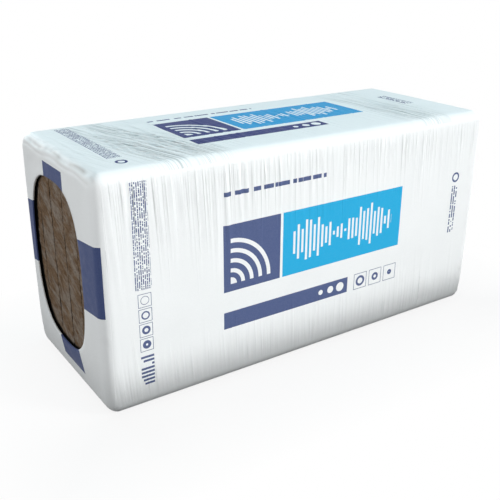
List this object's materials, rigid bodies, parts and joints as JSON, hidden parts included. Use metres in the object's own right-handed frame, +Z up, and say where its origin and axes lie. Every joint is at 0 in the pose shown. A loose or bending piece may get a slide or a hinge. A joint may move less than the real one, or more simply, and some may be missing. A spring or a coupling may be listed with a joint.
{
  "type": "pack of acoustic insulation boards",
  "caption": "Film-wrapped pack of mineral-wool acoustic boards that stand on edge side by side, with an oval window in the wrap at each end.",
  "frame": {"origin": "middle of the pack's underside", "axes": "+Z up, +X along the boards' length, -Y out of the pack's front face"},
  "size_m": [1.2214, 0.4786, 0.603],
  "materials": {
    "film": "white stretched polyethylene film with light-blue and navy printed blocks, soft sheen and fine creases",
    "wool": "brown mineral wool, matted fibres, matt"
  },
  "bodies": {
    "root": {"film_wrap": "film", "board_1": "wool", "board_2": "wool", "board_3": "wool", "board_4": "wool", "board_5": "wool", "board_6": "wool"}
  },
  "joints": []
}
